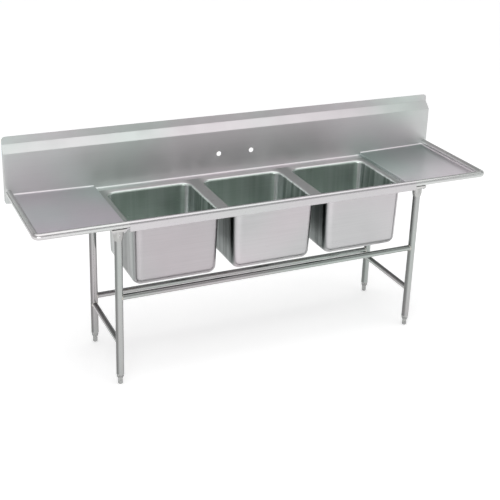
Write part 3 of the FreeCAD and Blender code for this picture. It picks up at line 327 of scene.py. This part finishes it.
def bowl_painted_light(centre_x, centre_y, neighbours):
    """Painted light on a drawn bowl: green painted reflections inside, painted highlights in its corners and
    on the flange behind it, painted shade on the flanks, darkest by a neighbour.

    neighbours lists the sides, -1 or 1 along X, on which another bowl stands close by.
    """
    def shade(finish, colour):
        normal = finish.node("NewGeometry").outputs["Normal"]
        # Upright stripes for the painted reflections on the walls.
        painted_reflection_stripes = finish.noise(26.0, 2.0, 0.5, (1.0, 1.0, 0.03), 21.0)
        streak = finish.remap(painted_reflection_stripes, 0.35, 0.65)
        across = finish.normal_part("x")
        sideways = finish.math("ABSOLUTE", across)
        lengthways = finish.math("ABSOLUTE", finish.normal_part("y"))
        upward = finish.math("ABSOLUTE", finish.normal_part("z"))

        # Painted shade on the outer flanks that face along X, darker still where a neighbour bowl stands
        # close.
        outside = finish.mix(finish.remap(sideways, 0.62, 0.92), colour, finish.mix(streak, *BOWL_FREE_FLANK_PAINTED_SHADE))
        close = finish.mix(streak, *BOWL_CLOSE_FLANK_PAINTED_SHADE)
        for side in neighbours:
            toward = finish.math("MULTIPLY", across, float(side))
            outside = finish.mix(finish.remap(toward, 0.80, 0.96), outside, close)

        # Inside: green painted reflections on the end walls, painted reflection stripes on the side walls, a
        # painted highlight in the corners and an even grey on the floor.
        inside = finish.mix(finish.remap(sideways, 0.75, 0.95), finish.mix(streak, *BOWL_END_WALL_PAINTED_REFLECTION),
                            finish.mix(streak, *BOWL_SIDE_WALL_PAINTED_REFLECTION))
        corner = finish.math("MULTIPLY", sideways, lengthways)
        inside = finish.mix(finish.remap(corner, 0.42, 0.49), inside, BOWL_CORNER_PAINTED_HIGHLIGHT)
        inside = finish.mix(finish.remap(upward, 0.60, 0.92), inside, BOWL_FLOOR)

        outward = finish.vector_math("SUBTRACT", finish.point, (centre_x, centre_y, BOWL_MIDDLE_HEIGHT))
        facing = finish.vector_math("DOT_PRODUCT", outward, normal, output="Value")
        walls = finish.mix(finish.remap(facing, -0.02, 0.0), inside, outside)

        # The flange: a painted highlight behind the bowl, the plainer side tone beside it.
        beside = finish.math("ABSOLUTE", finish.math("SUBTRACT", finish.place_part("x"), centre_x))
        flange = finish.mix(finish.remap(beside, *FLANGE_BLEND), FLANGE_BACK_PAINTED_HIGHLIGHT, FLANGE_SIDES)
        level = finish.remap(finish.place_part("z"), DECK_TOP - 3 * MM, DECK_TOP - 1 * MM)
        return finish.mix(level, walls, flange)
    return shade


def tube_painted_shade(axis):
    """Painted shade on a polished tube: the colour stays bright in a band along it and is darkened as painted
    shade on the two sides that face along axis.
    """
    def shade(finish, colour):
        facing = finish.math("ABSOLUTE", finish.normal_part(axis))
        strength = finish.remap(facing, 0.40, 0.85, 1.0, 0.48)
        return finish.scaled(colour, strength)
    return shade


def board_painted_shade(back, front):
    """Painted shade on a sheet: its colour goes evenly from a darker painted reflection of the splash at the
    back to a lighter painted highlight at the front rim.
    """
    def shade(finish, colour):
        depth = finish.remap(finish.place_part("y"), RIM_INNER_Y + 0.02, SPLASH_FACE - 0.08)
        painted_gradient = finish.mix(depth, opaque(*front), opaque(*back))
        return finish.mix(1.0, colour, painted_gradient, "MULTIPLY")
    return shade


def paint(node, material):
    """Gives a CAD node its finish."""
    item = NODES[node]
    if not item.data.materials:
        item.data.materials.append(material)
    for slot in item.material_slots:
        slot.material = material


def finish_all():
    splash = steel("splash_brushed", "x", (0.57, 0.575, 0.575), 0.44)
    # The boards carry painted shade: darker and greener at the splash as a painted reflection, lighter at the
    # front rim as a painted highlight.
    boards = {
        "left": steel("board_left_brushed", "x", (0.66, 0.65, 0.68), 0.31,
                      shade=board_painted_shade((0.94, 0.96, 0.95), (1.06, 1.03, 1.06))),
        "right": steel("board_right_brushed", "x", (0.66, 0.65, 0.67), 0.31,
                       shade=board_painted_shade((0.60, 0.70, 0.66), (1.30, 1.29, 1.30))),
    }
    # The strip's tint is raised above the splash's as a painted highlight on the deck behind the bowls.
    strip = steel("strip_brushed", "x", (0.78, 0.77, 0.78), 0.30)
    front_rim = steel("rim_brushed_x", "x", (0.53, 0.525, 0.53), 0.20, wave=0.3,
                      cool=(0.99, 1.01, 1.00), warm=(1.02, 0.99, 1.01))
    side_rim = steel("rim_brushed_y", "y", (0.56, 0.575, 0.565), 0.24, wave=0.3)
    channel = steel("channel_mill", "y", (0.56, 0.56, 0.55), 0.38, patches=(0.85, 1.1))
    stiffener = steel("stiffener_mill", "x", (0.56, 0.56, 0.55), 0.38, patches=(0.85, 1.1))
    # The tubes' colour is darkened on their sides as painted shade.
    upright, across, deep = (
        steel(f"tube_polished_{axis}", axis, (0.40, 0.405, 0.40), 0.16, wave=0.1, around=True,
              shade=tube_painted_shade(painted_shade_side))
        for axis, painted_shade_side in (("z", "x"), ("x", "z"), ("y", "z")))
    socket = steel("socket_satin", "level", (0.43, 0.43, 0.42), 0.34, wave=0.1)
    hardware = turned_metal("hardware_bright", (0.60, 0.60, 0.61), 0.28)
    insert = turned_metal("insert_turned", (0.44, 0.44, 0.435), 0.34)
    brass = turned_metal("lock_nut_cast_brass", (0.72, 0.54, 0.27), 0.36, 220.0)
    plate = chrome()
    seal = rubber()
    for node in ("backsplash", "splash_end_cap_left", "splash_end_cap_right"):
        paint(node, splash)
    paint("back_strip", strip)
    paint("rim_centre", front_rim)
    for side in SIDES:
        paint(f"drainboard_{side}", boards[side])
        paint(f"rim_{side}", side_rim)
        paint(f"leg_channel_{side}", channel)
        paint(f"drainboard_stiffener_{side}", stiffener)
        paint(f"{side}_brace", deep)
        for end in ENDS:
            paint(f"leg_{end}_{side}", upright)
            paint(f"leg_socket_{end}_{side}", socket)
            paint(f"leg_insert_{end}_{side}", insert)
    for end in ENDS:
        paint(f"{end}_rail", across)
    # Each bowl's tint differs as a painted shade: the left bowl darkest, the right lightest.
    bowl_painted_tones = {"left": (0.43, (1,)), "centre": (0.49, (-1, 1)), "right": (0.505, (-1,))}
    for bowl in BOWLS:
        low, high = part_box(f"bowl_{bowl}")
        middle = (low + high) / 2
        tone, neighbours = bowl_painted_tones[bowl]
        paint(f"bowl_{bowl}", steel(f"bowl_{bowl}_brushed", "level", (tone, tone * 0.97, tone * 0.99), 0.30,
                                    cool=(0.96, 0.99, 0.98), warm=(1.03, 0.99, 1.01), streak=0.14,
                                    streak_depth=0.04, shade=bowl_painted_light(middle.x, middle.y, neighbours)))
        paint(f"drain_{bowl}", plate)
        paint(f"strainer_basket_{bowl}", plate)
        paint(f"drain_lock_nut_{bowl}", brass)
        paint(f"drain_gasket_{bowl}", seal)
    paint("socket_set_screws", hardware)
    paint("socket_studs", hardware)


# ---------------------------------------------------------------- mesh helpers

RING_POINTS = 48
BEAD_POINTS = 10
WELD_RIPPLE = 2.6 * MM
COVE_STEPS = 7
ARC_STEPS = 6


def new_piece(name, mesh, material, body, smooth):
    """Makes an object of a bmesh, smooth but for edges sharper than smooth degrees, riding on a body."""
    bmesh.ops.recalc_face_normals(mesh, faces=mesh.faces)
    data = bpy.data.meshes.new(name)
    mesh.to_mesh(data)
    mesh.free()
    for face in data.polygons:
        face.use_smooth = True
    data.set_sharp_from_angle(angle=math.radians(smooth))
    data.materials.append(material)
    piece = bpy.data.objects.new(name, data)
    bpy.context.scene.collection.objects.link(piece)
    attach(piece, body)
    return piece


def skin(mesh, rings, joined=False):
    """Faces between rings of points, one after another. joined closes the row, which is else capped."""
    rows = [[mesh.verts.new(point) for point in ring] for ring in rings]
    count = len(rows[0])
    pairs = list(zip(rows, rows[1:]))
    if joined:
        pairs.append((rows[-1], rows[0]))
    for first, second in pairs:
        for i in range(count):
            j = (i + 1) % count
            mesh.faces.new((first[i], first[j], second[j], second[i]))
    if not joined:
        mesh.faces.new(rows[0])
        mesh.faces.new(rows[-1])


def spaced(low, high, parts):
    """Even steps from low to high, with both."""
    return [low + (high - low) * i / parts for i in range(parts + 1)]


def arc(centre_radius, centre_height, radius, start, end):
    """Points of an arc in an outline, from start to end in degrees."""
    turns = (math.radians(start + (end - start) * i / ARC_STEPS) for i in range(ARC_STEPS + 1))
    return [(centre_radius + radius * math.cos(turn), centre_height + radius * math.sin(turn))
            for turn in turns]


def surface(node):
    """The node's faces, to look for heights on."""
    data = NODES[node].data
    return BVHTree.FromPolygons([v.co for v in data.vertices], [list(p.vertices) for p in data.polygons])


def height_at(tree, x, y):
    """Height of the highest face at x, y."""
    return tree.ray_cast(Vector((x, y, CAD_BOX[1].z + 1)), Vector((0, 0, -1)))[0].z


def cove(mesh, corners, along_floor, radius):
    """A hollow fillet in the corner between a level and an upright face, along the line of corners."""
    sink_in = 0.3 * MM
    rings = []
    for corner in corners:
        ring = [corner - along_floor * sink_in + Vector((0, 0, -sink_in))]
        ring.append(corner + along_floor * radius + Vector((0, 0, -sink_in)))
        for i in range(COVE_STEPS + 1):
            turn = math.radians(270 - 90 * i / COVE_STEPS)
            ring.append(corner + along_floor * radius * (1 + math.cos(turn))
                        + Vector((0, 0, radius * (1 + math.sin(turn)))))
        ring.append(corner - along_floor * sink_in + Vector((0, 0, radius)))
        rings.append(ring)
    skin(mesh, rings)


def bead(mesh, points, normals, width, proud, closed=False):
    """A rippled weld bead along points, flat side inwards. normals point out of the joint."""
    lengths = [0.0]
    for before, after in zip(points, points[1:]):
        lengths.append(lengths[-1] + (after - before).length)
    total = lengths[-1] + ((points[0] - points[-1]).length if closed else 0)
    waves = max(1, round(total / WELD_RIPPLE))
    count = len(points)
    rings = []
    for i, (point, normal) in enumerate(zip(points, normals)):
        before = points[i - 1] if i or closed else points[0]
        after = points[(i + 1) % count] if i + 1 < count or closed else points[-1]
        tangent = (after - before).normalized()
        side = tangent.cross(normal).normalized()
        swell = 0.80 + 0.20 * abs(math.sin(math.pi * waves * lengths[i] / total))
        end = 1.0 if closed else min(1.0, 0.35 + 0.65 * min(i, count - 1 - i) / 3)
        ring = []
        for k in range(BEAD_POINTS):
            turn = math.tau * k / BEAD_POINTS
            ring.append(point + side * (width * swell * end * math.cos(turn))
                        + normal * (proud * swell * end * math.sin(turn)))
        rings.append(ring)
    skin(mesh, rings, joined=closed)


# ---------------------------------------------------------------- welds and coves

def splash_coves(material):
    """Hollow fillets where the boards, the back strip and the side rims meet the splash and the rims."""
    radius = 6 * MM
    outer = RIM_INNER_X
    for side, sign in SIDES.items():
        board = surface(f"drainboard_{side}")
        inner = BOARD_INNER + 4 * MM

        def corner(x, y, inset_x=0.0, inset_y=0.0):
            return Vector((x, y, height_at(board, x - inset_x, y - inset_y)))

        mesh = bmesh.new()
        stations = spaced(inner, outer, 12)
        inside = 8 * MM
        back = [corner(sign * x, SPLASH_FACE, sign * (inside if x == outer else 0), inside)
                for x in stations]
        cove(mesh, back, Vector((0, -1, 0)), radius)
        front = [corner(sign * x, RIM_INNER_Y, sign * (inside if x == outer else 0), -inside)
                 for x in stations]
        cove(mesh, front, Vector((0, 1, 0)), radius)
        rows = spaced(RIM_INNER_Y, SPLASH_FACE, 8)
        end = [corner(sign * outer, min(max(y, RIM_INNER_Y + inside), SPLASH_FACE - inside),
                      sign * inside) for y in rows]
        for point, y in zip(end, rows):
            point.y = y
        cove(mesh, end, Vector((-sign, 0, 0)), radius)
        new_piece(f"board_cove_{side}", mesh, material, SINK, 50)
    mesh = bmesh.new()
    strip = [Vector((x, SPLASH_FACE, DECK_TOP)) for x in spaced(-BOARD_INNER, BOARD_INNER, 24)]
    cove(mesh, strip, Vector((0, -1, 0)), radius)
    new_piece("strip_cove", mesh, material, SINK, 50)


def saddle(mesh, tube_axis, tube_radius, leg_centre, leg_radius, toward):
    """The weld bead where a tube runs into a leg. toward is the way that the tube leaves the leg."""
    count = 150
    points = []
    normals = []
    across = Vector((0, 0, 1)).cross(toward)
    for i in range(count):
        turn = math.tau * i / count
        spread = tube_radius * math.sin(turn)
        depth = math.sqrt(leg_radius ** 2 - spread ** 2)
        point = Vector((leg_centre.x, leg_centre.y, tube_axis)) + toward * depth + across * spread
        point.z += tube_radius * math.cos(turn)
        outward_tube = across * math.sin(turn) + Vector((0, 0, math.cos(turn)))
        outward_leg = (across * spread + toward * depth).normalized()
        points.append(point)
        normals.append((outward_tube + outward_leg).normalized())
    bead(mesh, points, normals, 2.6 * MM, 1.7 * MM, closed=True)


def tube_welds(material):
    """Ripple welds round both ends of each rail and brace."""
    leg_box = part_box("leg_front_left")
    leg_radius = (leg_box[1].x - leg_box[0].x) / 2

    def leg_axis(end, side):
        low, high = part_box(f"leg_{end}_{side}")
        return (low + high) / 2

    for end in ENDS:
        low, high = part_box(f"{end}_rail")
        for side, sign in SIDES.items():
            mesh = bmesh.new()
            saddle(mesh, (low.z + high.z) / 2, (high.z - low.z) / 2, leg_axis(end, side), leg_radius,
                   Vector((-sign, 0, 0)))
            new_piece(f"rail_weld_{end}_{side}", mesh, material, SINK, 60)
    for side in SIDES:
        low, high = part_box(f"{side}_brace")
        for end, back in (("front", 1), ("rear", -1)):
            mesh = bmesh.new()
            saddle(mesh, (low.z + high.z) / 2, (high.z - low.z) / 2, leg_axis(end, side), leg_radius,
                   Vector((0, back, 0)))
            new_piece(f"brace_weld_{end}_{side}", mesh, material, SINK, 60)


def stitch_welds(material):
    """Rows of short welds that hold the leg channels under the boards."""
    first, spacing = 0.16, 0.23
    count = 40
    length = 26 * MM
    for side in SIDES:
        mesh = bmesh.new()
        low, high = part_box(f"leg_channel_{side}")
        under = surface(f"drainboard_{side}")
        for x, out in ((low.x, -1), (high.x, 1)):
            for k in range(4):
                y = low.y + (high.y - low.y) * (first + spacing * k)
                hit = under.ray_cast(Vector((x + out * 2 * MM, y, low.z - 0.1)), Vector((0, 0, 1)))[0]
                if hit is None:
                    continue
                points = [Vector((x, y + length * (i / (count - 1) - 0.5), hit.z - 0.2 * MM))
                          for i in range(count)]
                normals = [Vector((out, 0, -1)).normalized()] * count
                bead(mesh, points, normals, 2.4 * MM, 1.6 * MM)
        new_piece(f"channel_stitches_{side}", mesh, material, SINK, 60)


# ---------------------------------------------------------------- screw feet

def ring_point(centre, radius, turn, height):
    return Vector((centre.x + radius * math.cos(turn), centre.y + radius * math.sin(turn), height))


def hexagon_ring(centre, radius, height, chamfer_radius=None):
    """Points round a hexagon, eight to a flat, cut back to a circle where it is chamfered."""
    ring = []
    flat = radius * math.cos(math.pi / 6)
    for i in range(RING_POINTS):
        turn = math.tau * i / RING_POINTS
        offset = (turn % (math.pi / 3)) - math.pi / 6
        reach = flat / math.cos(offset)
        if chamfer_radius is not None:
            reach = min(reach, chamfer_radius)
        ring.append(ring_point(centre, reach, turn, height))
    return ring


def round_ring(centre, radius, height):
    return [ring_point(centre, radius, math.tau * i / RING_POINTS, height) for i in range(RING_POINTS)]


def thread_rings(centre, low, high, root, crest):
    """Rings of a cut thread that fades out at both ends. root and crest are radii."""
    pitch = 2.0 * MM
    rings_per_turn = 6
    step = pitch / rings_per_turn
    rings = []
    height = low + step
    while height < high:
        fade = min(1.0, (high - height) / pitch, (height - low) / pitch)
        ring = []
        for i in range(RING_POINTS):
            phase = (height / pitch - i / RING_POINTS) % 1.0
            tooth = 1 - abs(2 * phase - 1)
            radius = root + (crest - root) * min(1.0, tooth * 1.25) * fade
            ring.append(ring_point(centre, radius, math.tau * i / RING_POINTS, height))
        rings.append(ring)
        height += step
    return rings


def screw_foot(end, side, material):
    """A bullet foot: turned tip, waist and cone, a chamfered hexagon, a collar and a cut thread."""
    node = f"foot_{end}_{side}"
    low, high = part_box(node)
    centre = Vector(((low.x + high.x) / 2, (low.y + high.y) / 2, 0))
    mesh = bmesh.new()
    # The turned part as (radius, height), from the middle of the tip up to the hexagon.
    tip = 13.2 * MM
    rounding = 5 * MM
    outline = [(0.3 * MM, 0.0), (tip - rounding, 0.0)]
    outline += arc(tip - rounding, rounding, rounding, -75, 0)
    outline += [(tip, 22 * MM), (tip - 0.4 * MM, 23.2 * MM), (12 * MM, 26.4 * MM), (11.8 * MM, 27.2 * MM),
                (12.1 * MM, 28.2 * MM), (18.6 * MM, 45 * MM), (18.6 * MM, 46 * MM)]
    rings = [round_ring(centre, radius, height) for radius, height in outline]
    hexagon_low = 46 * MM
    hexagon_high = 54 * MM
    hexagon = 19.6 * MM
    chamfer = 17.6 * MM
    chamfer_height = 1.3 * MM
    gap = 0.1 * MM
    rings.append(hexagon_ring(centre, hexagon, hexagon_low + gap, chamfer))
    rings.append(hexagon_ring(centre, hexagon, hexagon_low + chamfer_height))
    rings.append(hexagon_ring(centre, hexagon, hexagon_high - chamfer_height))
    rings.append(hexagon_ring(centre, hexagon, hexagon_high - gap, chamfer))
    collar = 17 * MM
    collar_top = 57 * MM
    bevel = 0.6 * MM
    rings.append(round_ring(centre, collar, hexagon_high))
    rings.append(round_ring(centre, collar, collar_top - bevel))
    rings.append(round_ring(centre, collar - bevel, collar_top))
    root = 6.9 * MM
    crest = 7.95 * MM
    rings.append(round_ring(centre, root, collar_top))
    top = high.z
    rings += thread_rings(centre, collar_top, top - 1.5 * MM, root, crest)
    rings.append(round_ring(centre, root, top - 1.0 * MM))
    rings.append(round_ring(centre, root - 1.0 * MM, top))
    skin(mesh, rings)
    piece = new_piece(f"screw_foot_{end}_{side}", mesh, material, node, 30)
    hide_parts(node)


# ---------------------------------------------------------------- studio

def floor():
    """A plain pale floor."""
    mesh = bmesh.new()
    bmesh.ops.create_grid(mesh, x_segments=8, y_segments=8, size=FLOOR_SIZE)
    data = bpy.data.meshes.new("studio_floor")
    mesh.to_mesh(data)
    mesh.free()
    piece = bpy.data.objects.new("studio_floor", data)
    bpy.context.scene.collection.objects.link(piece)
    finish = Finish("studio_floor_paint")
    shader = finish.shader
    specks = finish.noise(1.2, 3.0, 0.5)
    paint_colour = finish.mix(specks, opaque(0.90, 0.90, 0.90), opaque(0.93, 0.93, 0.93))
    finish.give(shader.inputs["Base Color"], paint_colour)
    shader.inputs["Emission Color"].default_value = opaque(1.0, 1.0, 1.0)
    shader.inputs["Emission Strength"].default_value = FLOOR_GLOW
    shader.inputs["Roughness"].default_value = 0.9
    shader.inputs["Specular IOR Level"].default_value = 0.1
    data.materials.append(finish.material)


def softbox(name, place, aim, size, power):
    """A large white area light that the camera doesn't see."""
    data = bpy.data.lights.new(name, "AREA")
    data.shape = "RECTANGLE"
    data.size, data.size_y = size
    data.energy = power
    lamp = bpy.data.objects.new(name, data)
    bpy.context.scene.collection.objects.link(lamp)
    lamp.location = place
    lamp.rotation_euler = (Vector(aim) - Vector(place)).to_track_quat("-Z", "Y").to_euler()
    lamp.visible_camera = False


def map_range(tree, value, low, high, to_low, to_high):
    node = tree.nodes.new("ShaderNodeMapRange")
    tree.links.new(value, node.inputs["Value"])
    for name, number in (("From Min", low), ("From Max", high), ("To Min", to_low), ("To Max", to_high)):
        node.inputs[name].default_value = number
    return node.outputs["Result"]


def mix_grey(tree, factor, colour, grey):
    """colour, going over to an even grey as factor goes to 1."""
    node = tree.nodes.new("ShaderNodeMix")
    node.data_type = "RGBA"
    tree.links.new(factor, node.inputs["Factor"])
    tree.links.new(colour, node.inputs["A"])
    node.inputs["B"].default_value = opaque(grey, grey, grey)
    return node.outputs["Result"]


def studio_world():
    """White for the camera. Reflections see a bright ceiling, a grey horizon and a low curtain behind."""
    world = bpy.data.worlds.new("studio_world")
    bpy.context.scene.world = world
    world.use_nodes = True
    tree = world.node_tree
    tree.nodes.clear()
    place = tree.nodes.new("ShaderNodeTexCoord")
    split = tree.nodes.new("ShaderNodeSeparateXYZ")
    tree.links.new(place.outputs["Generated"], split.inputs[0])
    ramp = tree.nodes.new("ShaderNodeValToRGB")
    tree.links.new(split.outputs["Z"], ramp.inputs["Fac"])
    horizon, ceiling = ramp.color_ramp.elements
    horizon.position, horizon.color = 0.0, opaque(0.62, 0.63, 0.63)
    ceiling.position, ceiling.color = 0.82, opaque(1.0, 1.0, 1.0)
    for position, shade in ((0.32, 0.80), (0.5, 0.42), (0.72, 0.42)):
        ramp.color_ramp.elements.new(position).color = opaque(shade, shade, shade)
    behind = map_range(tree, split.outputs["Y"], 0.25, 0.85, 0.0, 1.0)
    low_down = map_range(tree, split.outputs["Z"], 0.08, 0.2, 1.0, 0.0)
    curtain = tree.nodes.new("ShaderNodeMath")
    curtain.operation = "MULTIPLY"
    tree.links.new(behind, curtain.inputs[0])
    tree.links.new(low_down, curtain.inputs[1])
    reflected = mix_grey(tree, curtain.outputs[0], ramp.outputs["Color"], 0.20)
    rays = tree.nodes.new("ShaderNodeLightPath")
    seen = mix_grey(tree, rays.outputs["Is Camera Ray"], reflected, 1.0)
    background = tree.nodes.new("ShaderNodeBackground")
    tree.links.new(seen, background.inputs["Color"])
    output = tree.nodes.new("ShaderNodeOutputWorld")
    tree.links.new(background.outputs[0], output.inputs["Surface"])


def camera():
    """The view from the front and a little to the left, looking down on the deck."""
    yaw, pitch, roll = (math.radians(turn) for turn in (CAMERA_YAW, CAMERA_PITCH, CAMERA_ROLL))
    forward = Vector((math.sin(yaw) * math.cos(pitch), math.cos(yaw) * math.cos(pitch), -math.sin(pitch)))
    level = Vector((math.cos(yaw), -math.sin(yaw), 0.0))
    upward = level.cross(forward)
    right = level * math.cos(roll) + upward * math.sin(roll)
    top = upward * math.cos(roll) - level * math.sin(roll)
    data = bpy.data.cameras.new("camera")
    data.sensor_width = 36.0
    data.lens = CAMERA_LENS
    data.shift_y = CAMERA_SHIFT
    data.clip_end = 200.0
    item = bpy.data.objects.new("camera", data)
    bpy.context.scene.collection.objects.link(item)
    matrix = item.matrix_world.copy()
    for column, axis in enumerate((right, top, -forward, Vector(CAMERA_PLACE))):
        for row in range(3):
            matrix[row][column] = axis[row]
    item.matrix_world = matrix
    bpy.context.scene.camera = item


def studio():
    floor()
    studio_world()
    for settings in SOFTBOXES:
        softbox(*settings)
    camera()
    bpy.context.scene.view_settings.view_transform = "Standard"


weld = weld_metal()
finish_all()
# The coves take the strip's steel, with its painted highlight tint.
splash_coves(NODES["back_strip"].material_slots[0].material)
tube_welds(weld)
stitch_welds(weld)
foot_metal = turned_metal("foot_turned_steel", (0.38, 0.385, 0.38), 0.26)
for end in ENDS:
    for side in SIDES:
        screw_foot(end, side, foot_metal)
studio()
